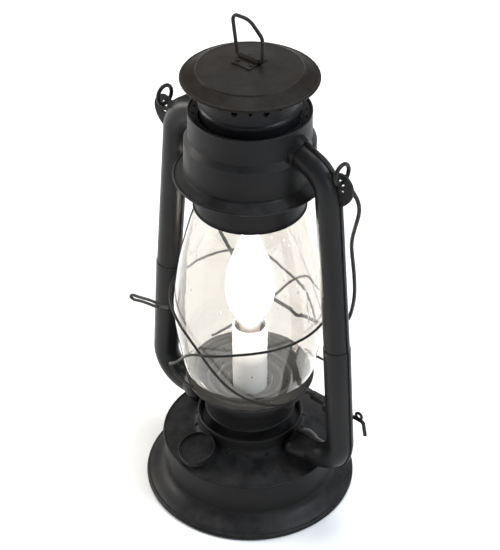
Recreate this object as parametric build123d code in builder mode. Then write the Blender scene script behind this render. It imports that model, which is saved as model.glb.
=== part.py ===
from build123d import *
import math
import os

os.makedirs("parts", exist_ok=True)

# Barn lantern, electrified. Millimetres, +Z up, origin at the centre of the base's underside.
# The side tubes stand on the X axis and the lantern's front faces -Y.

# ---------------------------------------------------------------- driving dimensions
SHEET = 0.8                 # steel sheet of the fount and canopy
WIRE_R = 0.85               # globe guard wire radius
BAIL_WIRE_R = 1.25          # bail handle wire radius

BASE_R = 70.0               # widest radius of the base
WALL_R = 57.2               # fount side wall
WALL_BOTTOM_Z = 12.5
BEAD_Z = 34.8               # rolled seam round the fount's shoulder
NECK_R = 34.3               # fount neck the burner sits in
NECK_TOP_Z = 53.2

TUBE_JOINT = (69.4, 141.0)      # where the upper tube plugs into the lower one
ELBOW_CORNER = (76.5, 48.0)     # bottom corner of the lower tube's centre line
FOOT_START_X = 53.0
FOOT_END_X = 36.0
TOP_CORNER = (58.0, 259.5)      # top corner of the upper tube's centre line
TOP_END = (33.0, 268.8)
LOWER_TUBE = (8.2, 8.8)         # half widths across Y and in the XZ plane
UPPER_TUBE = (7.7, 8.3)
TUBE_WALL = 0.45
COLLAR_LENGTH = 5.4
SEAM_W = 1.2
SEAM_H = 0.9

CANOPY_TOP_Z = 282.0
CANOPY_TOP_R = 36.4
CANOPY_BAND_R = 39.6
CANOPY_CREASE_Z = 243.8
SKIRT_EDGE_R = 46.0
SKIRT_EDGE_Z = 238.9

PLATE_R = 41.6              # globe plate
PLATE_Z = 86.4
CAP_RIM_R = 40.3            # top cap
CAP_RIM_Z = 303.6
CHIMNEY_R = 29.2
SLEEVE_R = 11.3             # candle sleeve
SLEEVE_TOP_Z = 125.0

EAR_HOLE = (68.0, 260.0)
BAIL_AXIS_Z = 266.0
BAIL_EYE_R = BAIL_AXIS_Z - EAR_HOLE[1]
BAIL_LEAN = 16.8            # degrees the hanging bail leans off the globe

LEVER_AXIS_Y = 10.5
LEVER_AXIS_Z = 82.5
LEVER_WIRE_R = 1.2

CORD_HOLE_Z = 24.0

FILLER_TOP = Vector(-5.2, -47.2, 48.0)
FILLER_TILT = 16.0
FILLER_R = 12.2


# ---------------------------------------------------------------- small helpers
def offset_points(points, thickness):
    """Points of an open polyline moved sideways by a thickness, mitred at the corners."""
    moved = []
    for i, here in enumerate(points):
        before = points[max(i - 1, 0)]
        after = points[min(i + 1, len(points) - 1)]
        normals = []
        for a, b in ((before, here), (here, after)):
            length = math.hypot(b[0] - a[0], b[1] - a[1])
            if length > 0:
                normals.append((-(b[1] - a[1]) / length, (b[0] - a[0]) / length))
        nx = sum(n[0] for n in normals) / len(normals)
        ny = sum(n[1] for n in normals) / len(normals)
        scale = thickness / (nx * nx + ny * ny)
        moved.append((here[0] + nx * scale, here[1] + ny * scale))
    return moved


def sheet_outline(points, thickness):
    """Closed corner list of a sheet that follows a polyline."""
    return points + offset_points(points, thickness)[::-1]


def smooth_outline(points, thickness):
    """Draw the closed edge of a sheet whose two faces are smooth curves."""
    inner = offset_points(points, thickness)
    Spline(*points)
    Spline(*inner)
    Line(points[0], inner[0])
    Line(points[-1], inner[-1])


def polar(radius, degrees, z):
    angle = math.radians(degrees)
    return (radius * math.cos(angle), radius * math.sin(angle), z)


def in_xz(point):
    return (point[0], 0, point[1])


# ---------------------------------------------------------------- base and fount
with BuildPart() as base_skirt:
    with BuildSketch(Plane.XZ):
        with BuildLine():
            smooth_outline(
                [(WALL_R, WALL_BOTTOM_Z), (57.9, 10.9), (60.4, 8.4), (63.9, 6.3), (67.8, 3.8)], -SHEET,
            )
        make_face()
    revolve(axis=Axis.Z)
    with BuildSketch(Plane.XZ):
        with Locations((BASE_R - 1.95, 1.75)):
            Circle(1.95)
        with Locations((BASE_R - 1.95, -2.0)):
            Rectangle(6, 4, mode=Mode.SUBTRACT)
    revolve(axis=Axis.Z)
base_skirt.part.label = "base_skirt"

with BuildPart() as filler_bore:
    filler_plane = Plane(
        origin=FILLER_TOP,
        x_dir=(1, 0, 0),
        z_dir=(0, -math.sin(math.radians(FILLER_TILT)), math.cos(math.radians(FILLER_TILT))),
    )
    with BuildSketch(filler_plane.offset(-14)):
        Circle(10.4)
    extrude(amount=14)

DOME = [(56.4, 35.9), (52.0, 37.3), (46.0, 39.3), (40.0, 41.1), (36.4, 42.6), (34.7, 44.8), (NECK_R, 47.5)]

# Pressed dimples round the neck, left out under the filler cap and the tube feet.
DIMPLE_ANGLES = [28.5, 48.5, 68.5, 88.5, 108.5, 128.5, 148.5, -31.5, -51.5, -71.5, -131.5, -151.5]

with BuildPart() as fount_shell:
    with BuildSketch(Plane.XZ):
        with BuildLine():
            Polyline(*sheet_outline([(WALL_R, WALL_BOTTOM_Z), (WALL_R, BEAD_Z)], SHEET), close=True)
        make_face()
        with BuildLine():
            smooth_outline(DOME, SHEET)
        make_face()
        with Locations((WALL_R - 0.3, BEAD_Z)):
            Circle(1.25)
    revolve(axis=Axis.Z)
    for angle in DIMPLE_ANGLES:
        with Locations(polar(35.9, angle, 42.9)):
            Sphere(1.3)
    add(filler_bore.part, mode=Mode.SUBTRACT)
    with BuildSketch(Plane.XZ.offset(-(WALL_R + 3))):
        with Locations((0, CORD_HOLE_Z)):
            Circle(4.35)
    extrude(amount=6, mode=Mode.SUBTRACT)
fount_shell.part.label = "fount_shell"

with BuildPart() as neck_collar:
    with BuildSketch(Plane.XZ):
        with BuildLine():
            Polyline(
                (NECK_R, 47.6), (NECK_R, NECK_TOP_Z), (NECK_R - 1.7, NECK_TOP_Z), (NECK_R - 1.7, 46.2),
                (5.0, 46.2), (5.0, 45.4), (NECK_R - 0.9, 45.4), (NECK_R - 0.9, 47.6), close=True,
            )
        make_face()
        with Locations((NECK_R - 0.6, NECK_TOP_Z)):
            Circle(0.95)
    revolve(axis=Axis.Z)
neck_collar.part.label = "neck_collar"

with BuildPart() as bottom_pan:
    with BuildSketch(Plane.XZ):
        with BuildLine():
            Polyline(
                (5.0, 11.0), (50.0, 11.0), (53.0, 14.0), (56.3, 14.0), (56.3, 19.0),
                (55.6, 19.0), (55.6, 14.8), (52.6, 14.8), (49.6, 11.8), (5.0, 11.8), close=True,
            )
        make_face()
    revolve(axis=Axis.Z)
bottom_pan.part.label = "bottom_pan"

with BuildPart() as filler_neck:
    with BuildSketch(filler_plane.offset(-11)):
        Circle(10.35)
        Circle(9.4, mode=Mode.SUBTRACT)
    extrude(amount=8.0)
filler_neck.part.label = "filler_neck"

with BuildPart() as filler_cap:
    with BuildSketch(filler_plane.offset(-4.9)):
        Circle(FILLER_R)
        Circle(FILLER_R - 0.9, mode=Mode.SUBTRACT)
    extrude(amount=4.9)
    with BuildSketch(filler_plane.offset(-2.3)):
        Circle(FILLER_R - 0.4)
    extrude(amount=0.8)
    fillet(filler_cap.faces().sort_by(Axis((0, 0, 0), tuple(filler_plane.z_dir)))[-1].edges(), 0.35)
filler_cap.part.label = "filler_cap"

with BuildPart() as filler_gasket:
    with BuildSketch(filler_plane.offset(-2.95)):
        Circle(10.7)
        Circle(8.4, mode=Mode.SUBTRACT)
    extrude(amount=0.6)
filler_gasket.part.label = "filler_gasket"

with BuildPart() as cord_bushing:
    with BuildSketch(Plane.XZ.offset(-(WALL_R + 1.6))):
        with Locations((0, CORD_HOLE_Z)):
            Circle(5.4)
            Circle(3.2, mode=Mode.SUBTRACT)
    extrude(amount=1.5)
    with BuildSketch(Plane.XZ.offset(-(WALL_R + 0.1))):
        with Locations((0, CORD_HOLE_Z)):
            Circle(4.3)
            Circle(3.2, mode=Mode.SUBTRACT)
    extrude(amount=4.0)
cord_bushing.part.label = "cord_bushing"

# ---------------------------------------------------------------- solids used only for trimming
with BuildPart() as neck_block:
    with Locations((0, 0, 20)):
        Cylinder(NECK_R + 0.4, 80)

with BuildPart() as fount_block:
    with BuildSketch(Plane.XZ):
        with BuildLine():
            Spline(*DOME)
            Polyline(DOME[0], (DOME[0][0], 20), (0, 20), (0, 47.5), DOME[-1])
        make_face()
    revolve(axis=Axis.Z)

CANOPY_PROFILE = [
    (CANOPY_TOP_R, CANOPY_TOP_Z), (36.6, 266.2), (39.2, 262.6), (CANOPY_BAND_R, CANOPY_CREASE_Z),
]

with BuildPart() as canopy_block:
    with BuildSketch(Plane.XZ):
        with BuildLine():
            Polyline((0, 282), *CANOPY_PROFILE, (0, CANOPY_CREASE_Z), close=True)
        make_face()
    revolve(axis=Axis.Z)

# ---------------------------------------------------------------- side tubes
UPPER_DIR = Vector(*in_xz(TOP_CORNER)) - Vector(*in_xz(TUBE_JOINT))
LOWER_DIR = Vector(*in_xz(ELBOW_CORNER)) - Vector(*in_xz(TUBE_JOINT))


def tube_section(size, wall=None):
    """Oval tube section, half widths across Y and in the XZ plane."""
    Ellipse(size[0], size[1])
    if wall:
        Ellipse(size[0] - wall, size[1] - wall, mode=Mode.SUBTRACT)


def seam_section(size):
    """The two raised seams where the pressed halves of a tube meet."""
    for side in (-1, 1):
        with Locations((0, side * (size[1] + SEAM_H / 2 - 0.15))):
            Rectangle(SEAM_W, SEAM_H + 0.3)


# The flattened foot, as (X, half width, half height, drop of its centre) from the tube inwards.
FOOT_SECTIONS = [
    (FOOT_START_X, LOWER_TUBE[0], LOWER_TUBE[1], 0.0), (47.0, 11.0, 9.4, 0.2), (40.6, 12.0, 8.8, 0.8),
    (FOOT_END_X, 9.0, 5.6, 2.4),
]


def lower_path():
    return FilletPolyline(
        in_xz(TUBE_JOINT), in_xz(ELBOW_CORNER), (FOOT_START_X, 0, ELBOW_CORNER[1]), radius=19,
    )


def upper_path():
    return FilletPolyline(in_xz(TUBE_JOINT), in_xz(TOP_CORNER), in_xz(TOP_END), radius=20)


with BuildPart() as lower_tube_right:
    with BuildLine():
        lower_path()
    with BuildSketch(Plane(origin=in_xz(TUBE_JOINT), x_dir=(0, 1, 0), z_dir=LOWER_DIR)):
        tube_section(LOWER_TUBE, TUBE_WALL)
    sweep()
    with BuildLine():
        lower_path()
    with BuildSketch(Plane(origin=in_xz(TUBE_JOINT), x_dir=(0, 1, 0), z_dir=LOWER_DIR)):
        seam_section(LOWER_TUBE)
    sweep()
    for x, half_width, half_height, drop in FOOT_SECTIONS:
        with BuildSketch(Plane(origin=(x, 0, ELBOW_CORNER[1] - drop), x_dir=(0, 1, 0), z_dir=(-1, 0, 0))):
            Ellipse(half_width, half_height)
    loft()
    with BuildSketch(
        Plane(origin=(FOOT_START_X + 0.01, 0, ELBOW_CORNER[1]), x_dir=(0, 1, 0), z_dir=(-1, 0, 0))
    ):
        Ellipse(LOWER_TUBE[0] - TUBE_WALL, LOWER_TUBE[1] - TUBE_WALL)
    extrude(amount=10, mode=Mode.SUBTRACT)
    with BuildSketch(Plane.XZ.offset(-SEAM_W / 2)):
        with BuildLine():
            Polyline(
                (FOOT_START_X, 56.0), (FOOT_START_X, 57.6),
                (46.0, 58.2), (40.0, 56.8), (38.2, 54.0), (40.0, 53.6),
                close=True,
            )
        make_face()
    extrude(amount=SEAM_W)
    add(fount_block.part, mode=Mode.SUBTRACT)
    add(neck_block.part, mode=Mode.SUBTRACT)
lower_tube_right.part.label = "lower_tube_right"

INSERT_START = Vector(*in_xz(TUBE_JOINT)) + LOWER_DIR.normalized() * 7

with BuildPart() as upper_tube_right:
    with BuildLine():
        FilletPolyline(INSERT_START, in_xz(TUBE_JOINT), in_xz(TOP_CORNER), in_xz(TOP_END), radius=20)
    with BuildSketch(Plane(origin=INSERT_START, x_dir=(0, 1, 0), z_dir=LOWER_DIR * -1)):
        tube_section(UPPER_TUBE, TUBE_WALL)
    sweep()
    with BuildLine():
        upper_path()
    with BuildSketch(Plane(origin=in_xz(TUBE_JOINT), x_dir=(0, 1, 0), z_dir=UPPER_DIR)):
        seam_section(UPPER_TUBE)
    sweep()
    add(canopy_block.part, mode=Mode.SUBTRACT)
upper_tube_right.part.label = "upper_tube_right"

with BuildPart() as upper_tube_block:
    with BuildLine():
        upper_path()
    with BuildSketch(Plane(origin=in_xz(TUBE_JOINT), x_dir=(0, 1, 0), z_dir=UPPER_DIR)):
        tube_section(UPPER_TUBE)
        seam_section(UPPER_TUBE)
    sweep()

COLLAR_DIR = (Vector(*in_xz(TOP_END)) - Vector(*in_xz(TOP_CORNER))).normalized()

with BuildPart() as canopy_collar_right:
    collar_start = Vector(*in_xz(TOP_END)) - COLLAR_DIR * COLLAR_LENGTH
    with BuildSketch(Plane(origin=collar_start, x_dir=(0, 1, 0), z_dir=COLLAR_DIR)):
        Ellipse(UPPER_TUBE[0] + 1.7, UPPER_TUBE[1] + 2.0)
    extrude(amount=COLLAR_LENGTH)
    add(upper_tube_block.part, mode=Mode.SUBTRACT)
    add(canopy_block.part, mode=Mode.SUBTRACT)
canopy_collar_right.part.label = "canopy_collar_right"

with BuildPart() as collar_block:
    with BuildSketch(Plane(origin=collar_start, x_dir=(0, 1, 0), z_dir=COLLAR_DIR)):
        Ellipse(UPPER_TUBE[0] + 1.7, UPPER_TUBE[1] + 2.0)
    extrude(amount=COLLAR_LENGTH)

with BuildPart() as ear_right:
    with BuildSketch(Plane.XZ.offset(-0.7)):
        with BuildLine():
            Spline((41.0, 277.4), (48.0, 274.4), (56.0, 268.8), (62.6, 263.8))
            Line((62.6, 263.8), (64.6, 265.0))
            Spline((64.6, 265.0), (69.4, 265.9), (74.4, 262.6), (76.3, 257.2), (74.6, 250.4), (69.2, 244.6))
            Polyline((69.2, 244.6), (60.0, 247.0), (56.0, 256.0), (48.0, 262.8), (41.0, 266.0), (41.0, 277.4))
        make_face()
        with Locations(EAR_HOLE):
            Circle(2.3, mode=Mode.SUBTRACT)
        with Locations((67.9, 254.6)):
            SlotOverall(4.6, 1.7, mode=Mode.SUBTRACT)
    extrude(amount=1.4)
    add(upper_tube_block.part, mode=Mode.SUBTRACT)
    add(canopy_block.part, mode=Mode.SUBTRACT)
    add(collar_block.part, mode=Mode.SUBTRACT)
ear_right.part.label = "ear_right"

with BuildPart() as lower_tube_left:
    add(mirror(lower_tube_right.part, about=Plane.YZ, mode=Mode.PRIVATE))
lower_tube_left.part.label = "lower_tube_left"

with BuildPart() as upper_tube_left:
    add(mirror(upper_tube_right.part, about=Plane.YZ, mode=Mode.PRIVATE))
upper_tube_left.part.label = "upper_tube_left"

with BuildPart() as canopy_collar_left:
    add(mirror(canopy_collar_right.part, about=Plane.YZ, mode=Mode.PRIVATE))
canopy_collar_left.part.label = "canopy_collar_left"

with BuildPart() as ear_left:
    add(mirror(ear_right.part, about=Plane.YZ, mode=Mode.PRIVATE))
ear_left.part.label = "ear_left"

# ---------------------------------------------------------------- canopy
TUBE_PORT_R = 6.8

with BuildPart() as canopy_band:
    with BuildSketch(Plane.XZ):
        with BuildLine():
            Polyline(*sheet_outline(CANOPY_PROFILE, -SHEET), close=True)
        make_face()
        with Locations((CANOPY_TOP_R - 0.5, CANOPY_TOP_Z)):
            Circle(0.7)
    revolve(axis=Axis.Z)
    for side in (-1, 1):
        port_origin = (side * TOP_END[0], 0, TOP_END[1])
        with BuildSketch(Plane(origin=port_origin, x_dir=(0, 1, 0), z_dir=(side, 0, -0.37))):
            Circle(TUBE_PORT_R)
        extrude(amount=8, mode=Mode.SUBTRACT)
canopy_band.part.label = "canopy_band"

with BuildPart() as canopy_top:
    with BuildSketch(Plane.XZ):
        with BuildLine():
            Polyline(
                (CANOPY_TOP_R - 1.3, 281.5), (30.3, 279.4), (30.3, 278.0), (31.0, 278.0),
                (31.0, 278.9), (CANOPY_TOP_R - 1.3, 280.7), close=True,
            )
        make_face()
    revolve(axis=Axis.Z)
    with BuildSketch(Plane.XY.offset(276)):
        with PolarLocations(32.9, 24):
            Circle(0.95)
    extrude(amount=8, mode=Mode.SUBTRACT)
canopy_top.part.label = "canopy_top"

with BuildPart() as canopy_skirt:
    with BuildSketch(Plane.XZ):
        with BuildLine():
            Polyline(
                *sheet_outline(
                    [(38.7, 248.6), (38.7, CANOPY_CREASE_Z - 0.4),
                    (40.2, 242.2), (45.4, SKIRT_EDGE_Z)], -SHEET,
                ),
                close=True,
            )
        make_face()
        with Locations((SKIRT_EDGE_R - 0.9, SKIRT_EDGE_Z - 0.1)):
            Circle(0.9)
    revolve(axis=Axis.Z)
canopy_skirt.part.label = "canopy_skirt"

# ---------------------------------------------------------------- globe carriage
with BuildPart() as globe_plate:
    with BuildSketch(Plane.XZ):
        with BuildLine():
            Polyline(
                *sheet_outline(
                    [
                        (40.9, PLATE_Z - 0.1), (37.6, PLATE_Z - 0.1),
                        (37.2, 84.9), (34.0, 84.9), (33.4, 83.6),
                        (28.6, 80.0), (27.2, 80.6), (26.0, 79.2), (22.0, 78.2), (20.6, 79.0), (19.2, 77.6),
                        (12.8, 77.2),
                    ],
                    SHEET,
                ),
                close=True,
            )
        make_face()
        with Locations((PLATE_R - 1.0, PLATE_Z - 0.5)):
            Circle(1.0)
    revolve(axis=Axis.Z)
    with BuildSketch(Plane.XY.offset(72)):
        with PolarLocations(24.2, 20):
            Circle(0.8)
        with PolarLocations(31.4, 24):
            Circle(0.8)
    extrude(amount=16, mode=Mode.SUBTRACT)
globe_plate.part.label = "globe_plate"

with BuildPart() as burner_bell:
    with BuildSketch(Plane.XZ):
        with BuildLine():
            smooth_outline(
                [(35.6, 83.6), (35.3, 78.5), (34.0, 74.4), (31.6, 69.6), (29.9, 64.6), (29.0, 59.0)], -0.7,
            )
        make_face()
        with Locations((28.8, 58.6)):
            Circle(0.8)
    revolve(axis=Axis.Z)
burner_bell.part.label = "burner_bell"

GLOBE = [
    (35.4, 85.9), (37.3, 88.3), (40.6, 92.8), (44.2, 106.0), (46.2, 119.0), (47.7, 131.0), (48.1, 143.5),
    (46.9, 156.0), (45.0, 169.5), (42.4, 183.0), (39.4, 195.0), (36.4, 206.0), (33.6, 214.0), (31.9, 219.0),
    (31.4, 224.0),
]

with BuildPart() as globe_glass:
    with BuildSketch(Plane.XZ):
        with BuildLine():
            smooth_outline(GLOBE, 1.3)
        make_face()
    revolve(axis=Axis.Z)
globe_glass.part.label = "globe_glass"

# Each guard wire starts on the plate in a hairpin, climbs over one side and lands on the plate again.
# The two cross in front of and behind the globe.


def guard_points(high_z, cross_lift):
    """Points of one guard wire as (angle, radius, height), starting at the hairpin."""
    return [
        (-113.0, 42.4, 87.6), (-123.0, 45.2, 87.7), (-132.0, 49.2, 89.2), (-135.5, 51.4, 93.0),
        (-131.0, 51.4, 98.0), (-122.0, 50.2, 104.5), (-110.0, 49.2, 115.5), (-98.0, 49.4 + cross_lift, 126.0),
        (-90.0, 49.4 + cross_lift, 130.6), (-80.0, 49.7 + cross_lift, 134.0), (-60.0, 50.0, high_z - 4.2),
        (-35.0, 50.1, high_z - 1.2), (-5.0, 50.1, high_z), (25.0, 50.1, high_z), (50.0, 50.1, high_z - 1.8),
        (70.0, 50.0, high_z - 5.4), (82.0, 49.6 + cross_lift, 137.0 + 0.16 * (high_z - 142)),
        (89.0, 49.4 + cross_lift, 133.6), (98.0, 49.4 + cross_lift, 126.0), (108.0, 48.2, 115.4),
        (118.0, 46.6, 106.4), (130.0, 44.8, 98.8),
        (142.0, 43.4, 93.2), (155.0, 42.6, 89.2), (168.0, 42.45, 87.4),
    ]


def draw_wire(points, radius):
    """Sweep a round wire through points."""
    with BuildLine() as path:
        Spline(*points)
    with BuildSketch(Plane(origin=path.line @ 0, z_dir=path.line % 0)) as section:
        Circle(radius)
    sweep(section.sketch, path=path.line)


with BuildPart() as guard_wire_right:
    draw_wire([polar(r, a, z) for a, r, z in guard_points(142.6, 1.9)], WIRE_R)
guard_wire_right.part.label = "guard_wire_right"

with BuildPart() as guard_wire_left:
    draw_wire([polar(r, a + 180, z) for a, r, z in guard_points(149.0, 0.0)], WIRE_R)
guard_wire_left.part.label = "guard_wire_left"

LOOP_START = Vector(*polar(51.85, -129.0, 144.6))
LOOP_TIP = Vector(-68.6, -38.2, 134.4)
LOOP_DIR = (LOOP_TIP - LOOP_START).normalized()

with BuildPart() as finger_loop:
    reach = (LOOP_TIP - LOOP_START).length
    loop_plane = Plane(origin=LOOP_START, x_dir=LOOP_DIR, z_dir=LOOP_DIR.cross(Vector(0, 0, 1)))
    with BuildLine(loop_plane) as loop_path:
        Spline(
            (0, 0), (8.0, 0.1), (13.0, 1.0), (19.0, 1.5),
            (reach - 6.0, 1.6), (reach - 2.4, 1.3), (reach - 1.0, 0),
            (reach - 2.4, -1.3), (reach - 6.0, -1.6), (19.0, -1.7), (13.0, -2.2), (9.6, -2.4),
        )
    with BuildSketch(Plane(origin=loop_path.line @ 0, z_dir=loop_path.line % 0)):
        Circle(1.0)
    sweep()
finger_loop.part.label = "finger_loop"

# ---------------------------------------------------------------- chimney, sliding in the canopy
with BuildPart() as chimney_tube:
    with BuildSketch(Plane.XZ):
        with BuildLine():
            Polyline(
                *sheet_outline(
                    [
                        (CHIMNEY_R, 233.4), (CHIMNEY_R, 284.2),
                        (CHIMNEY_R + 0.9, 285.2), (CHIMNEY_R + 0.9, 286.6),
                        (CHIMNEY_R, 287.6), (CHIMNEY_R, 303.4),
                    ],
                    0.6,
                ),
                close=True,
            )
        make_face()
    revolve(axis=Axis.Z)
    with PolarLocations(CHIMNEY_R, 10, start_angle=5):
        with Locations((0, 0, 295.2)):
            Cylinder(1.9, 6, rotation=(0, 90, 0), mode=Mode.SUBTRACT)
    with PolarLocations(CHIMNEY_R, 10, start_angle=23):
        with Locations((0, 0, 295.6)):
            Cylinder(1.1, 6, rotation=(0, 90, 0), mode=Mode.SUBTRACT)
chimney_tube.part.label = "chimney_tube"

with BuildPart() as globe_bell:
    with BuildSketch(Plane.XZ):
        with BuildLine():
            Polyline(
                *sheet_outline(
                    [
                        (34.0, 217.4), (33.6, 219.6), (33.4, 229.0),
                        (32.2, 232.2), (29.9, 233.0), (29.3, 234.6),
                        (29.3, 238.0),
                    ],
                    0.6,
                ),
                close=True,
            )
        make_face()
        with Locations((34.0, 217.6)):
            Circle(0.65)
    revolve(axis=Axis.Z)
    with Locations((0, 0, 236)):
        Cylinder(CHIMNEY_R + 0.02, 20, mode=Mode.SUBTRACT)
globe_bell.part.label = "globe_bell"

with BuildPart() as top_cap:
    with BuildSketch(Plane.XZ):
        with BuildLine():
            Polyline(
                *sheet_outline(
                    [
                        (0, 313.2), (8.5, 313.2), (30.2, 308.7), (31.0, 308.9), (31.8, 308.1),
                        (CAP_RIM_R - 0.6, CAP_RIM_Z + 0.6),
                    ],
                    -SHEET,
                ),
                close=True,
            )
        make_face()
        with Locations((CAP_RIM_R - 0.7, CAP_RIM_Z)):
            Circle(1.0)
    revolve(axis=Axis.Z)
    with BuildSketch(Plane.XZ):
        with BuildLine():
            Polyline(
                *sheet_outline([(CHIMNEY_R + 0.05, 303.4), (CHIMNEY_R + 0.05, 308.2)], 0.7), close=True,
            )
        make_face()
    revolve(axis=Axis.Z)
top_cap.part.label = "top_cap"

SADDLE_Z = 314.6
SADDLE_HALF = 6.8
RING_WIRE_R = 1.1

with BuildPart() as ring_saddle:
    with BuildSketch(Plane.YZ.offset(-SADDLE_HALF)):
        with BuildLine():
            Polyline((-8.4, 313.25), (7.2, 313.25), (7.2, 313.95), (-8.4, 313.95), close=True)
        make_face()
        with Locations((0, SADDLE_Z)):
            Circle(RING_WIRE_R + 0.85)
            Circle(RING_WIRE_R + 0.08, mode=Mode.SUBTRACT)
        with Locations((0, 312.25)):
            Rectangle(6, 2.0, mode=Mode.SUBTRACT)
    extrude(amount=2 * SADDLE_HALF)
    with BuildSketch(Plane.YZ.offset(-SADDLE_HALF)):
        with Locations((0, 313.4)):
            Rectangle(2 * (RING_WIRE_R + 0.08), 2.4)
    extrude(amount=2 * SADDLE_HALF, mode=Mode.SUBTRACT)
ring_saddle.part.label = "ring_saddle"

with BuildPart() as saddle_rivets:
    with BuildSketch(Plane.XY.offset(313.96)):
        with GridLocations(9.2, 9.4, 2, 2):
            Circle(1.1)
    extrude(amount=0.6)
saddle_rivets.part.label = "saddle_rivets"

with BuildPart() as lift_ring:
    with BuildLine() as ring_path:
        FilletPolyline(
            (-3.4, 0, SADDLE_Z), (-9.4, 0, SADDLE_Z), (-13.2, 0, 338.8), (-0.5, 0, 339.2),
            (9.1, 0, 330.6), (9.2, 0, SADDLE_Z), (3.4, 0, SADDLE_Z), radius=[2.4, 3.6, 11.0, 5.0, 2.4],
        )
    with BuildSketch(Plane(origin=(-3.4, 0, SADDLE_Z), z_dir=(-1, 0, 0))):
        Circle(RING_WIRE_R)
    sweep()
lift_ring.part.label = "lift_ring"

# ---------------------------------------------------------------- bail handle
lean = math.radians(BAIL_LEAN)
bail_down = Vector(0, math.sin(lean), -math.cos(lean))
bail_plane = Plane(origin=(0, 0, BAIL_AXIS_Z), x_dir=(1, 0, 0), z_dir=Vector(1, 0, 0).cross(bail_down))
BAIL_HALF = [
    (52.0, 131.0), (55.6, 119.0), (58.6, 104.0), (61.6, 79.0), (63.8, 62.0), (67.4, 50.0), (72.8, 35.4),
    (75.6, 26.0), (75.7, 18.0), (72.8, 11.0), (EAR_HOLE[0], BAIL_EYE_R),
]
BAIL_BOTTOM = [(46.5, 145.0), (36.0, 158.5), (22.0, 165.6), (9.0, 167.4), (4.6, 168.4), (0.0, 171.0)]

with BuildPart() as bail:
    right_side = (BAIL_BOTTOM[::-1] + BAIL_HALF)[1:]
    left_side = [(-x, s) for x, s in right_side[::-1]]
    outline = left_side + [BAIL_BOTTOM[-1]] + right_side
    with BuildLine(bail_plane) as bail_path:
        Spline(*outline)
    with BuildSketch(Plane(origin=bail_path.line @ 0, z_dir=bail_path.line % 0)):
        Circle(BAIL_WIRE_R)
    sweep()
    for side in (-1, 1):
        with Locations(Location((side * EAR_HOLE[0], 0, BAIL_AXIS_Z), (0, 90, 0))):
            Torus(BAIL_EYE_R, BAIL_WIRE_R)
bail.part.label = "bail"

# ---------------------------------------------------------------- globe lift lever
with BuildPart() as lift_lever:
    with BuildLine() as lever_path:
        FilletPolyline(
            (39.0, -9.5, LEVER_AXIS_Z), (39.0, LEVER_AXIS_Y, LEVER_AXIS_Z),
            (84.6, LEVER_AXIS_Y, LEVER_AXIS_Z),
            (86.6, LEVER_AXIS_Y, 72.6), radius=2.2,
        )
    with BuildSketch(Plane(origin=(39.0, -9.5, LEVER_AXIS_Z), z_dir=(0, 1, 0))):
        Circle(LEVER_WIRE_R)
    sweep()
    with Locations(Location((81.0, LEVER_AXIS_Y, LEVER_AXIS_Z + 3.1), (90, 0, 0))):
        Torus(2.2, 0.95)
lift_lever.part.label = "lift_lever"

with BuildPart() as lower_tube_block:
    with BuildLine():
        lower_path()
    with BuildSketch(Plane(origin=in_xz(TUBE_JOINT), x_dir=(0, 1, 0), z_dir=LOWER_DIR)):
        tube_section(LOWER_TUBE)
        seam_section(LOWER_TUBE)
    sweep()

with BuildPart() as lift_bracket:
    with BuildSketch(Plane.YZ.offset(44.0)):
        with Locations((LEVER_AXIS_Y, LEVER_AXIS_Z)):
            Circle(2.9)
    extrude(amount=20)
    with Locations((62.4, 7.4, LEVER_AXIS_Z)):
        Box(12.0, 6.0, 5.0)
    add(lower_tube_block.part, mode=Mode.SUBTRACT)
    with BuildSketch(Plane.YZ.offset(40.0)):
        with Locations((LEVER_AXIS_Y, LEVER_AXIS_Z)):
            Circle(LEVER_WIRE_R + 0.08)
    extrude(amount=34, mode=Mode.SUBTRACT)
lift_bracket.part.label = "lift_bracket"

# ---------------------------------------------------------------- lamp
with BuildPart() as lamp_nipple:
    with BuildSketch(Plane.XY.offset(6.0)):
        Circle(4.8)
        Circle(3.5, mode=Mode.SUBTRACT)
    extrude(amount=92.0)
lamp_nipple.part.label = "lamp_nipple"

with BuildPart() as nipple_nuts:
    for nut_z in (7.4, 46.3, 41.9):
        with BuildSketch(Plane.XY.offset(nut_z)):
            RegularPolygon(8.0, 6)
            Circle(4.85, mode=Mode.SUBTRACT)
        extrude(amount=3.4)
nipple_nuts.part.label = "nipple_nuts"

with BuildPart() as lamp_socket:
    with BuildSketch(Plane.XY.offset(98.1)):
        Circle(9.6)
    extrude(amount=3.0)
    with BuildSketch(Plane.XY.offset(101.1)):
        Circle(9.6)
        Circle(7.4, mode=Mode.SUBTRACT)
    extrude(amount=20.0)
lamp_socket.part.label = "lamp_socket"

with BuildPart() as candle_sleeve:
    with BuildSketch(Plane.XY.offset(49.9)):
        Circle(SLEEVE_R)
        Circle(SLEEVE_R - 1.3, mode=Mode.SUBTRACT)
    extrude(amount=SLEEVE_TOP_Z - 49.9)
    fillet(candle_sleeve.faces().sort_by(Axis.Z)[-1].edges(), 0.5)
candle_sleeve.part.label = "candle_sleeve"

with BuildPart() as bulb_cap:
    with BuildSketch(Plane.XZ):
        with BuildLine():
            Polyline(
                (0, 102.4), (2.4, 102.4), (4.6, 104.0), (5.9, 104.4),
                (5.3, 105.6), (5.9, 106.8), (5.3, 108.0),
                (5.9, 109.2), (5.3, 110.4), (5.9, 111.6),
                (5.3, 112.8), (5.9, 114.0), (5.9, 119.4), (0, 119.4),
                close=True,
            )
        make_face()
    revolve(axis=Axis.Z)
bulb_cap.part.label = "bulb_cap"

BULB = [
    (6.3, 119.5), (6.6, 122.5), (8.2, 128.0), (11.4, 134.6), (14.3, 142.0), (15.8, 150.0), (15.9, 157.0),
    (14.6, 166.0), (11.8, 176.0), (8.4, 186.0), (5.0, 195.0), (2.4, 201.6),
]

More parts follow.
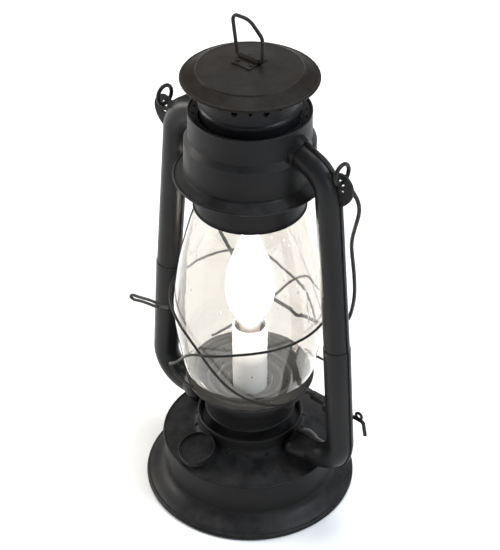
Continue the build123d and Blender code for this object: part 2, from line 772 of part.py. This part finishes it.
with BuildPart() as bulb_glass:
    with BuildSketch(Plane.XZ):
        with BuildLine():
            Spline(*BULB, (0, 205.0), tangents=[(0.05, 1), (-1, 0.25)])
            Spline(*offset_points(BULB, 0.7), (0, 203.6), tangents=[(0.05, 1), (-1, 0.25)])
            Line(BULB[0], offset_points(BULB, 0.7)[0])
            Line((0, 205.0), (0, 203.6))
        make_face()
    revolve(axis=Axis.Z)
bulb_glass.part.label = "bulb_glass"

with BuildPart() as bulb_stem:
    with BuildSketch(Plane.XZ):
        with BuildLine():
            Polyline(
                (0, 119.5), (4.8, 119.5), (2.4, 126.0), (1.3, 132.0),
                (1.3, 150.0), (2.0, 151.2), (1.3, 152.4),
                (0, 152.4), close=True,
            )
        make_face()
    revolve(axis=Axis.Z)
bulb_stem.part.label = "bulb_stem"

with BuildPart() as bulb_filament:
    for turn in range(4):
        a0 = 90 * turn
        with BuildLine() as filament_path:
            Line(polar(2.4, a0, 152.8), polar(5.6, a0 + 18, 184.0))
        with BuildSketch(Plane(origin=filament_path.line @ 0, z_dir=filament_path.line % 0)):
            Circle(0.35)
        sweep()
bulb_filament.part.label = "bulb_filament"

PARTS = [
    base_skirt, fount_shell, neck_collar, bottom_pan, filler_neck, filler_cap, filler_gasket, cord_bushing,
    lower_tube_left, lower_tube_right, upper_tube_left, upper_tube_right, canopy_collar_left,
    canopy_collar_right, ear_left, ear_right, canopy_band, canopy_top, canopy_skirt, globe_plate, burner_bell,
    globe_glass, guard_wire_left, guard_wire_right, finger_loop, chimney_tube, globe_bell, top_cap, ring_saddle,
    saddle_rivets, lift_ring, bail, lift_lever, lift_bracket, lamp_nipple, nipple_nuts, lamp_socket,
    candle_sleeve, bulb_cap, bulb_glass, bulb_stem, bulb_filament,
]

for built in PARTS:
    export_step(built.part, f"parts/{built.part.label}.step")
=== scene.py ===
import math

import bmesh
import bpy
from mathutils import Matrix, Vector


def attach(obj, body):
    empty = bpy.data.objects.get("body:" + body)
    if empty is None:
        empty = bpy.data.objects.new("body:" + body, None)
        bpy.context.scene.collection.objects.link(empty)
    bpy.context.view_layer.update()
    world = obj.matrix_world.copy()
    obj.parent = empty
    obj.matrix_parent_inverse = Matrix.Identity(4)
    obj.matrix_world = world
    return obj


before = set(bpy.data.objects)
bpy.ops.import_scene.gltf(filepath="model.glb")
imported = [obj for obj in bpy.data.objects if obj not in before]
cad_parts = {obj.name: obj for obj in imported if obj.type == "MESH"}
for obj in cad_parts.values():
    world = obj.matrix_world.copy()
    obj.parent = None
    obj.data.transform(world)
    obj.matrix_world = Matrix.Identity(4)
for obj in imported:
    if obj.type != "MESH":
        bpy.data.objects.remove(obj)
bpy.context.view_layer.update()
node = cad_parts

MM = 0.001

# Beads rolled into the plate under the globe, as (radius, height) in millimetres.
PLATE_BEADS = [(27.2, 0.9), (20.6, 1.0), (14.6, 0.8)]
BEAD_LET_IN = 0.25
BEAD_STEPS = 8
TURN_SEGMENTS = 144

# ---------------------------------------------------------------- camera
CAMERA_PLACE = Vector((0.5126, -0.5988, 0.7471))
CAMERA_TARGET = Vector((0.0, 0.0, 0.1628))
LENS = 113.6
SENSOR = 36.0


def make_camera():
    """A long lens that looks down at the lantern over its right front quarter."""
    data = bpy.data.cameras.new("camera")
    data.sensor_fit = "HORIZONTAL"
    data.sensor_width = SENSOR
    data.lens = LENS
    camera = bpy.data.objects.new("camera", data)
    camera.location = CAMERA_PLACE
    camera.rotation_euler = (CAMERA_TARGET - CAMERA_PLACE).to_track_quat("-Z", "Y").to_euler()
    bpy.context.scene.collection.objects.link(camera)
    bpy.context.scene.camera = camera


# ---------------------------------------------------------------- node helpers
class Nodes:
    """Short calls for building one material's node tree."""

    def __init__(self, name):
        self.material = bpy.data.materials.new(name)
        self.material.use_nodes = True
        self.tree = self.material.node_tree
        self.shader = self.tree.nodes["Principled BSDF"]
        self.output = self.tree.nodes["Material Output"]
        coordinates = self.tree.nodes.new("ShaderNodeTexCoord")
        self.place = coordinates.outputs["Object"]

    def new(self, kind, **inputs):
        """A node with some of its inputs set to values or linked to sockets."""
        made = self.tree.nodes.new(kind)
        for key, value in inputs.items():
            self.feed(made.inputs[key.replace("_", " ")], value)
        return made

    def feed(self, socket, value):
        if isinstance(value, bpy.types.NodeSocket):
            self.tree.links.new(value, socket)
        else:
            socket.default_value = value

    def set(self, **inputs):
        """Inputs of the principled shader."""
        for key, value in inputs.items():
            self.feed(self.shader.inputs[key.replace("_", " ")], value)

    def noise(self, scale, detail=3.0, roughness=0.5, place=None):
        made = self.new("ShaderNodeTexNoise", Scale=scale, Detail=detail, Roughness=roughness)
        self.feed(made.inputs["Vector"], place or self.place)
        return made.outputs["Fac"]

    def dots(self, scale, size, place=None):
        """1 at the middle of scattered round dots, falling to 0 at their edge."""
        made = self.new("ShaderNodeTexVoronoi", Scale=scale)
        self.feed(made.inputs["Vector"], place or self.place)
        return self.range(made.outputs["Distance"], 0.0, size, 1.0, 0.0)

    def range(self, value, low, high, to_low=0.0, to_high=1.0):
        made = self.new("ShaderNodeMapRange")
        self.feed(made.inputs["Value"], value)
        for key, number in (("From Min", low), ("From Max", high), ("To Min", to_low), ("To Max", to_high)):
            made.inputs[key].default_value = number
        return made.outputs["Result"]

    def math(self, kind, a, b):
        made = self.tree.nodes.new("ShaderNodeMath")
        made.operation = kind
        self.feed(made.inputs[0], a)
        self.feed(made.inputs[1], b)
        return made.outputs[0]

    def mix(self, factor, a, b):
        made = self.tree.nodes.new("ShaderNodeMix")
        made.data_type = "RGBA"
        self.feed(made.inputs["Factor"], factor)
        for socket, colour in ((made.inputs[6], a), (made.inputs[7], b)):
            self.feed(socket, colour if isinstance(colour, bpy.types.NodeSocket) else (*colour, 1.0))
        return made.outputs[2]

    def bump(self, height, distance, strength=1.0, under=None):
        made = self.new("ShaderNodeBump", Strength=strength, Distance=distance)
        self.feed(made.inputs["Height"], height)
        if under:
            self.feed(made.inputs["Normal"], under)
        return made.outputs["Normal"]

    def stretched(self, x, y, z):
        """Object coordinates scaled by a different amount along each axis."""
        made = self.tree.nodes.new("ShaderNodeMapping")
        self.feed(made.inputs["Vector"], self.place)
        made.inputs["Scale"].default_value = (x, y, z)
        return made.outputs["Vector"]

    def axis(self, letter, source=None):
        """One coordinate of a vector, in metres for object coordinates."""
        made = self.tree.nodes.new("ShaderNodeSeparateXYZ")
        self.feed(made.inputs[0], source or self.place)
        return made.outputs[letter]

    def edges(self, radius):
        """0 on smooth faces, rising to 1 along hard edges."""
        bevel = self.tree.nodes.new("ShaderNodeBevel")
        bevel.samples = 4
        bevel.inputs["Radius"].default_value = radius
        true_normal = self.tree.nodes.new("ShaderNodeNewGeometry").outputs["Normal"]
        dot = self.tree.nodes.new("ShaderNodeVectorMath")
        dot.operation = "DOT_PRODUCT"
        self.feed(dot.inputs[0], bevel.outputs["Normal"])
        self.feed(dot.inputs[1], true_normal)
        return self.range(dot.outputs["Value"], 0.985, 0.86)


# ---------------------------------------------------------------- materials
# Specular level of the paint, lower than plain gloss because the powder coat is matt.
PAINT_SHEEN = 0.15
WIRE_SHEEN = 0.20

# Heights in metres, each a span over which something fades in.
GLOBE_BLOOM = (0.095, 0.150)
BULB_NECK_GLOW = (0.1245, 0.1285)
BULB_BODY_GLOW = (0.128, 0.146)
BULB_TIP_FADE = (0.203, 0.180)
SLEEVE_PAINTED_SHADE_FADES = (0.078, 0.112)
SLEEVE_GLOW = (0.098, 0.110)

# Radii in metres, inside and just outside the sleeve's bore.
SLEEVE_OUTSIDE = (0.0100, 0.0104)


def powder_coat(name, dark, light, rough=(0.40, 0.54), dusting_and_top_light=0.5, wave=0.00022, sheen=PAINT_SHEEN):
    """Satin powder paint on pressed sheet: faint orange peel, uneven sheen, dusty specks, upward faces
    lightened towards grey as a dusting and a painted top light, and hard edges lightened as rubbed wear and
    a painted edge highlight.
    """
    n = Nodes(name)
    tone = n.range(n.noise(24.0, 5.0, 0.6), 0.32, 0.70)
    colour = n.mix(tone, dark, light)
    # Painted top light: faces turned upward are lightened towards grey, partly a dusting that settles there
    # and partly a stand-in for light falling from above.
    upward = n.axis("Z", n.tree.nodes.new("ShaderNodeNewGeometry").outputs["Normal"])
    settled_dusting_and_top_light = n.math("MULTIPLY", n.range(upward, 0.35, 0.95), n.range(n.noise(90.0, 6.0, 0.7), 0.35, 0.75))
    colour = n.mix(n.math("MULTIPLY", settled_dusting_and_top_light, 0.44 * dusting_and_top_light), colour, (0.066, 0.065, 0.066))
    specks = n.math("MULTIPLY", n.dots(420.0, 0.10), n.range(n.noise(75.0, 2.0), 0.50, 0.62))
    colour = n.mix(n.math("MULTIPLY", specks, 0.4 * dusting_and_top_light), colour, (0.10, 0.09, 0.08))
    # Painted edge highlight: hard edges are lightened, partly rubbed wear and partly a stand-in for the
    # highlights that rims catch.
    edge_wear_and_highlight = n.math("MULTIPLY", n.edges(0.0006), n.range(n.noise(160.0, 4.0, 0.7), 0.42, 0.60))
    colour = n.mix(n.math("MULTIPLY", edge_wear_and_highlight, 0.55), colour, (0.070, 0.064, 0.058))
    patches = n.range(n.noise(65.0, 4.0, 0.65), 0.30, 0.72, rough[0], rough[1])
    n.set(Base_Color=colour, Roughness=n.math("ADD", patches, n.math("MULTIPLY", settled_dusting_and_top_light, 0.08)))
    n.shader.inputs["Specular IOR Level"].default_value = sheen
    normal = n.bump(n.noise(38.0, 2.0, 0.4), wave)
    normal = n.bump(n.noise(900.0, 3.0, 0.55), 0.00003, under=normal)
    n.set(Normal=n.bump(specks, 0.00008, under=normal))
    return n.material


def painted_wire(name, dark, light):
    """Painted steel wire: drawing lines under the paint and a few rubbed spots."""
    n = Nodes(name)
    tone = n.range(n.noise(70.0, 4.0, 0.6), 0.35, 0.68)
    rubs = n.range(n.noise(240.0, 5.0, 0.75), 0.61, 0.70)
    colour = n.mix(n.math("MULTIPLY", rubs, 0.5), n.mix(tone, dark, light), (0.11, 0.10, 0.09))
    n.set(Base_Color=colour, Roughness=n.range(n.noise(130.0, 3.0), 0.3, 0.7, 0.34, 0.52))
    n.shader.inputs["Specular IOR Level"].default_value = WIRE_SHEEN
    normal = n.bump(n.noise(320.0, 3.0, 0.5), 0.00007)
    n.set(Normal=n.bump(n.noise(1500.0, 2.0), 0.00002, under=normal))
    return n.material


def lamp_lets_light_through(n):
    """Glass that rays from the lamps cross unbent, so that what is inside stays lit."""
    mixer = n.tree.nodes.new("ShaderNodeMixShader")
    clear = n.tree.nodes.new("ShaderNodeBsdfTransparent")
    clear.inputs["Color"].default_value = (0.96, 0.95, 0.92, 1.0)
    path = n.tree.nodes.new("ShaderNodeLightPath")
    n.feed(mixer.inputs[0], path.outputs["Is Shadow Ray"])
    n.feed(mixer.inputs[1], n.shader.outputs[0])
    n.feed(mixer.inputs[2], clear.outputs[0])
    n.feed(n.output.inputs["Surface"], mixer.outputs[0])


def blown_glass(name, tint, ripple, seeds, painted_glow):
    """Soda glass blown in a mould: ripples, drawn seeds, a dusting and a film, and a painted glow that
    grows towards the lit bulb.
    """
    n = Nodes(name)
    n.set(Transmission_Weight=1.0, IOR=1.47)
    streaks = n.noise(60.0, 3.0, 0.5, n.stretched(1.0, 1.0, 0.35))
    normal = n.bump(streaks, ripple)
    seed_field = n.dots(210.0, 0.11, n.stretched(1.0, 1.0, 0.6))
    sparse = n.range(n.noise(28.0, 2.0), 0.52, 0.60)
    seed_height = n.math("MULTIPLY", seed_field, sparse)
    n.set(Normal=n.bump(seed_height, 0.0005 * seeds, under=normal))
    film = n.range(n.noise(34.0, 6.0, 0.7), 0.45, 0.85, 0.0, 0.06)
    n.set(Roughness=film)
    n.set(Base_Color=n.mix(n.range(n.noise(12.0, 3.0), 0.3, 0.7), tint, [0.985 * c for c in tint]))
    # Painted glow: the glass itself emits light, weaker low down and full from the bulb's height, to
    # lighten what is seen through it.
    bloom = n.range(n.axis("Z"), *GLOBE_BLOOM, 0.3 * painted_glow, painted_glow)
    n.set(Emission_Strength=bloom, Emission_Color=(1.0, 0.97, 0.92, 1.0))
    lamp_lets_light_through(n)
    return n.material


def lit_envelope(name):
    """The lit bulb's envelope: brightest round the filament, milder at its neck, tip and outline."""
    n = Nodes(name)
    height = n.axis("Z")
    rising = n.range(height, *BULB_BODY_GLOW)
    falling = n.range(height, *BULB_TIP_FADE)
    body = n.math("MULTIPLY", rising, falling)
    above_neck = n.range(height, *BULB_NECK_GLOW)
    glow = n.math("ADD", n.math("MULTIPLY", body, 20.0), n.math("MULTIPLY", above_neck, 1.6))
    mottle = n.range(n.noise(55.0, 3.0), 0.3, 0.7, 0.92, 1.06)
    turned_away = n.tree.nodes.new("ShaderNodeLayerWeight").outputs["Facing"]
    inward = n.math("POWER", n.range(turned_away, 0.97, 0.40), 3.0)
    strength = n.math("MULTIPLY", n.math("MULTIPLY", glow, mottle), inward)
    n.set(Emission_Strength=n.math("ADD", strength, 0.30))
    n.set(Emission_Color=n.mix(above_neck, (1.0, 0.78, 0.70), (1.0, 0.985, 0.96)))
    n.set(Base_Color=(0.44, 0.43, 0.41, 1.0), Roughness=n.range(n.noise(90.0), 0.3, 0.7, 0.10, 0.16))
    return n.material


def filament_glow(name):
    """White-hot wire with a slightly uneven heat."""
    n = Nodes(name)
    heat = n.range(n.noise(400.0, 2.0), 0.3, 0.7, 7.0, 9.0)
    n.set(Emission_Strength=heat, Emission_Color=(1.0, 0.90, 0.72, 1.0))
    n.set(Roughness=n.range(heat, 7.0, 9.0, 0.4, 0.5))
    n.set(Base_Color=n.mix(n.noise(300.0), (0.5, 0.45, 0.4), (0.6, 0.55, 0.5)))
    return n.material


def candle_plastic(name):
    """White sleeve with a painted glow at its mouth standing in for the bulb's light, and painted
    bluish-grey shade lower down.
    """
    n = Nodes(name)
    height = n.axis("Z")
    mottle = n.noise(40.0, 4.0, 0.6)
    # Painted shade: the white plastic is coloured bluish grey low down and white higher up.
    painted_shade_below = n.mix(n.range(height, *SLEEVE_PAINTED_SHADE_FADES), (0.50, 0.53, 0.57), (0.88, 0.88, 0.88))
    n.set(Base_Color=n.mix(n.range(mottle, 0.4, 0.75, 0.0, 0.12), painted_shade_below, (0.72, 0.70, 0.66)))
    squared = [n.math("POWER", n.axis(letter), 2.0) for letter in "XY"]
    across = n.math("POWER", n.math("ADD", *squared), 0.5)
    outside = n.range(across, *SLEEVE_OUTSIDE)
    # Painted glow: the outside of the sleeve emits light near its mouth, though it is no lamp.
    glow = n.math("ADD", n.range(height, *SLEEVE_GLOW, 0.0, 0.75), n.range(mottle, 0.3, 0.7, 0.0, 0.04))
    n.set(Emission_Strength=n.math("MULTIPLY", glow, outside), Emission_Color=(1.0, 0.985, 0.96, 1.0))
    n.set(Roughness=n.range(n.noise(110.0, 4.0), 0.3, 0.7, 0.28, 0.42))
    n.shader.inputs["Subsurface Weight"].default_value = 0.15
    n.shader.inputs["Subsurface Radius"].default_value = (0.004, 0.003, 0.0025)
    n.set(Normal=n.bump(n.noise(600.0, 3.0), 0.00002))
    return n.material


def moulded_plastic(name, dark, light, rough):
    """Moulded plastic or rubber with a fine spark-eroded grain."""
    n = Nodes(name)
    n.set(Base_Color=n.mix(n.range(n.noise(120.0, 4.0), 0.3, 0.7), dark, light))
    n.set(Roughness=n.range(n.noise(200.0, 3.0), 0.3, 0.7, rough - 0.08, rough + 0.08))
    n.set(Normal=n.bump(n.noise(1300.0, 2.0), 0.00004))
    return n.material


def bare_metal(name, dark, light, rough, lines):
    """Plated or bare turned metal: rings from turning, stains and a soft sheen."""
    n = Nodes(name)
    rings = n.noise(lines, 2.0, 0.5, n.stretched(0.15, 0.15, 1.0))
    stain = n.range(n.noise(85.0, 5.0, 0.7), 0.4, 0.75)
    n.set(Base_Color=n.mix(stain, light, dark), Metallic=1.0)
    n.set(Roughness=n.range(stain, 0.0, 1.0, rough, rough + 0.18))
    n.set(Normal=n.bump(rings, 0.00005))
    return n.material


# Raised dusting-and-top-light amount: the dome and other upward faces are painted lighter, standing in for
# light from above, besides a dusting.
BLACK = powder_coat("black_powder_coat", (0.0056, 0.0058, 0.0066), (0.0098, 0.0092, 0.0088), dusting_and_top_light=0.9)
CAP_BLACK = powder_coat("warm_black_cap", (0.0092, 0.0074, 0.0060), (0.0148, 0.0118, 0.0094), sheen=0.08)
TUBE_BLACK = powder_coat(
    "tube_black", (0.0056, 0.0058, 0.0066), (0.0100, 0.0094, 0.0092), (0.30, 0.42), sheen=0.20,
)
# A lighter copy of the black paint for the upward plate and canopy top: partly a dusting, partly a painted
# top light.
DUSTY_TOP_LIT = powder_coat(
    "dusty_top_lit_plate", (0.0085, 0.0084, 0.0085), (0.0170, 0.0160, 0.0150), (0.34, 0.50), 1.0, sheen=0.2,
)
# Much lighter grey for the plate beads: partly a dusting on their crests, partly a painted highlight along
# the rings.
DUSTY_HIGHLIT_CREST = powder_coat(
    "bead_crests_dusting_and_highlight", (0.040, 0.039, 0.038), (0.095, 0.090, 0.084), (0.34, 0.50), 1.0, sheen=0.3,
)
SOOTY = powder_coat("chimney_black", (0.0050, 0.0053, 0.0066), (0.0100, 0.0098, 0.0105), (0.26, 0.42), 0.3)
WIRE = painted_wire("black_wire", (0.0080, 0.0076, 0.0072), (0.0160, 0.0146, 0.0130))
GLASS = blown_glass("globe_glass", (0.760, 0.736, 0.697), 0.00006, 1.0, 0.030)
STEM_GLASS = blown_glass("stem_glass", (0.97, 0.97, 0.96), 0.00004, 0.3, 0.0)
BULB = lit_envelope("lit_bulb")
FILAMENT = filament_glow("filament")
SLEEVE = candle_plastic("candle_sleeve")
SOCKET = moulded_plastic("socket_plastic", (0.020, 0.020, 0.020), (0.035, 0.034, 0.033), 0.5)
BUSHING = moulded_plastic("bushing_plastic", (0.016, 0.016, 0.016), (0.026, 0.026, 0.026), 0.6)
RUBBER = moulded_plastic("gasket_rubber", (0.022, 0.021, 0.020), (0.036, 0.034, 0.032), 0.8)
BRASS = bare_metal("bulb_cap_brass", (0.42, 0.30, 0.15), (0.80, 0.62, 0.34), 0.24, 900.0)
ZINC = bare_metal("zinc_steel", (0.33, 0.32, 0.30), (0.62, 0.61, 0.58), 0.34, 700.0)

FINISH = {
    CAP_BLACK: ["top_cap", "ring_saddle", "saddle_rivets"],
    SOOTY: ["chimney_tube"],
    BLACK: [
        "base_skirt", "fount_shell", "neck_collar", "bottom_pan", "filler_neck", "filler_cap", "ear_left",
        "ear_right", "canopy_band", "canopy_skirt", "burner_bell", "globe_bell", "lift_bracket",
    ],
    TUBE_BLACK: [
        "lower_tube_left", "lower_tube_right", "upper_tube_left", "upper_tube_right", "canopy_collar_left",
        "canopy_collar_right",
    ],
    DUSTY_TOP_LIT: ["globe_plate", "canopy_top"],
    WIRE: ["guard_wire_left", "guard_wire_right", "finger_loop", "lift_ring", "bail", "lift_lever"],
    GLASS: ["globe_glass"],
    STEM_GLASS: ["bulb_stem"],
    BULB: ["bulb_glass"],
    FILAMENT: ["bulb_filament"],
    SLEEVE: ["candle_sleeve"],
    SOCKET: ["lamp_socket"],
    BUSHING: ["cord_bushing"],
    RUBBER: ["filler_gasket"],
    BRASS: ["bulb_cap"],
    ZINC: ["lamp_nipple", "nipple_nuts"],
}


def finish_cad_nodes():
    """Give each carried-over CAD node its material."""
    for material, names in FINISH.items():
        for name in names:
            materials = node[name].data.materials
            materials.clear()
            materials.append(material)


# ---------------------------------------------------------------- beads on the plate
def turn(name, outline):
    """A closed outline of (radius, height) in millimetres, turned about Z."""
    mesh = bpy.data.meshes.new(name)
    bm = bmesh.new()
    rings = []
    for s in range(TURN_SEGMENTS):
        angle = 2 * math.pi * s / TURN_SEGMENTS
        ring = []
        for radius, height in outline:
            place = Vector((radius * math.cos(angle), radius * math.sin(angle), height))
            ring.append(bm.verts.new(place * MM))
        rings.append(ring)
    count = len(outline)
    for s in range(TURN_SEGMENTS):
        here, following = rings[s], rings[(s + 1) % TURN_SEGMENTS]
        for i in range(count):
            j = (i + 1) % count
            bm.faces.new((here[i], following[i], following[j], here[j]))
    bmesh.ops.remove_doubles(bm, verts=bm.verts, dist=1e-7)
    bmesh.ops.recalc_face_normals(bm, faces=bm.faces)
    bm.to_mesh(mesh)
    bm.free()
    for face in mesh.polygons:
        face.use_smooth = True
    made = bpy.data.objects.new(name, mesh)
    bpy.context.scene.collection.objects.link(made)
    return made


def top_of(name, radius, reach=0.8):
    """Height in millimetres of a CAD node's upper face at a radius from the axis."""
    heights = [
        v.co.z / MM for v in node[name].data.vertices
        if abs(math.hypot(v.co.x, v.co.y) / MM - radius) < reach
    ]
    return max(heights)


def half_round(radius, height, base):
    """Outline of a rolled bead, flat underneath and let a little into the plate, centred on a radius."""
    half_width = 1.25 * height
    foot = base - BEAD_LET_IN
    outline = []
    for step in range(BEAD_STEPS + 1):
        angle = math.pi * step / BEAD_STEPS
        outline.append((radius + half_width * math.cos(angle), base + height * math.sin(angle)))
    return outline + [(radius - half_width, foot), (radius + half_width, foot)]


def make_plate_beads():
    """Beads rolled into the plate under the globe, in a light grey that paints a dusting and a highlight on
    their crests.
    """
    for number, (radius, height) in enumerate(PLATE_BEADS, 1):
        bead = turn(f"plate_bead_{number}", half_round(radius, height, top_of("globe_plate", radius)))
        bead.data.materials.append(DUSTY_HIGHLIT_CREST)
        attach(bead, "globe_carriage")


# ---------------------------------------------------------------- floor and light
FLOOR_HALF = 9.0
FLOOR_GLOW_START = 0.7      # distance from the lantern where the backdrop begins to glow
FLOOR_GLOW_FULL = 2.2
STUDIO_LIGHT = 0.26         # what the surroundings throw on the lantern
STUDIO_SEEN = 1.1           # how bright they look behind it


def make_floor():
    """A pale floor that runs out into a white backdrop on every side."""
    mesh = bpy.data.meshes.new("floor")
    bm = bmesh.new()
    bmesh.ops.create_grid(bm, x_segments=8, y_segments=8, size=FLOOR_HALF)
    bm.to_mesh(mesh)
    bm.free()
    floor = bpy.data.objects.new("floor", mesh)
    bpy.context.scene.collection.objects.link(floor)
    n = Nodes("pale_floor")
    n.set(Base_Color=n.mix(n.noise(6.0, 4.0), (0.93, 0.93, 0.925), (0.95, 0.95, 0.945)))
    n.set(Roughness=n.range(n.noise(30.0), 0.3, 0.7, 0.80, 0.95))
    away = n.tree.nodes.new("ShaderNodeVectorMath")
    away.operation = "LENGTH"
    n.feed(away.inputs[0], n.place)
    n.set(Emission_Color=(1.0, 1.0, 1.0, 1.0))
    n.set(Emission_Strength=n.range(away.outputs["Value"], FLOOR_GLOW_START, FLOOR_GLOW_FULL))
    mesh.materials.append(n.material)


def area_light(name, place, target, size, power, colour):
    """A round soft box of a given diameter, aimed at the target."""
    data = bpy.data.lights.new(name, "AREA")
    data.shape = "DISK"
    data.size = size
    data.energy = power
    data.color = colour
    light = bpy.data.objects.new(name, data)
    light.location = place
    light.rotation_euler = (Vector(target) - Vector(place)).to_track_quat("-Z", "Y").to_euler()
    bpy.context.scene.collection.objects.link(light)


def make_lights():
    """Soft boxes above, at the back and at both sides, in a dim white room."""
    world = bpy.data.worlds.new("studio")
    world.use_nodes = True
    world.node_tree.nodes["Background"].inputs["Color"].default_value = (1.0, 1.0, 1.0, 1.0)
    tree = world.node_tree
    seen = tree.nodes.new("ShaderNodeLightPath").outputs["Is Camera Ray"]
    strength = tree.nodes.new("ShaderNodeMapRange")
    strength.inputs["To Min"].default_value = STUDIO_LIGHT
    strength.inputs["To Max"].default_value = STUDIO_SEEN
    tree.links.new(seen, strength.inputs["Value"])
    tree.links.new(strength.outputs["Result"], tree.nodes["Background"].inputs["Strength"])
    bpy.context.scene.world = world
    middle = (0.0, 0.0, 0.15)
    area_light("overhead", (-0.3, 0.4, 2.6), middle, 1.4, 33.0, (1.0, 0.98, 0.95))
    area_light("left_side", (-2.2, -0.9, 0.9), middle, 1.2, 50.0, (1.0, 0.975, 0.94))
    area_light("back_high", (-1.3, 1.5, 1.9), middle, 1.3, 15.0, (1.0, 0.98, 0.95))
    area_light("right_window", (1.5, 0.6, 2.0), middle, 1.0, 44.0, (0.82, 0.90, 1.0))
    area_light("right_low", (1.9, -1.1, 0.9), middle, 1.0, 12.0, (0.88, 0.93, 1.0))
    bpy.context.scene.view_settings.view_transform = "Standard"


make_camera()
make_lights()
make_floor()
finish_cad_nodes()
make_plate_beads()
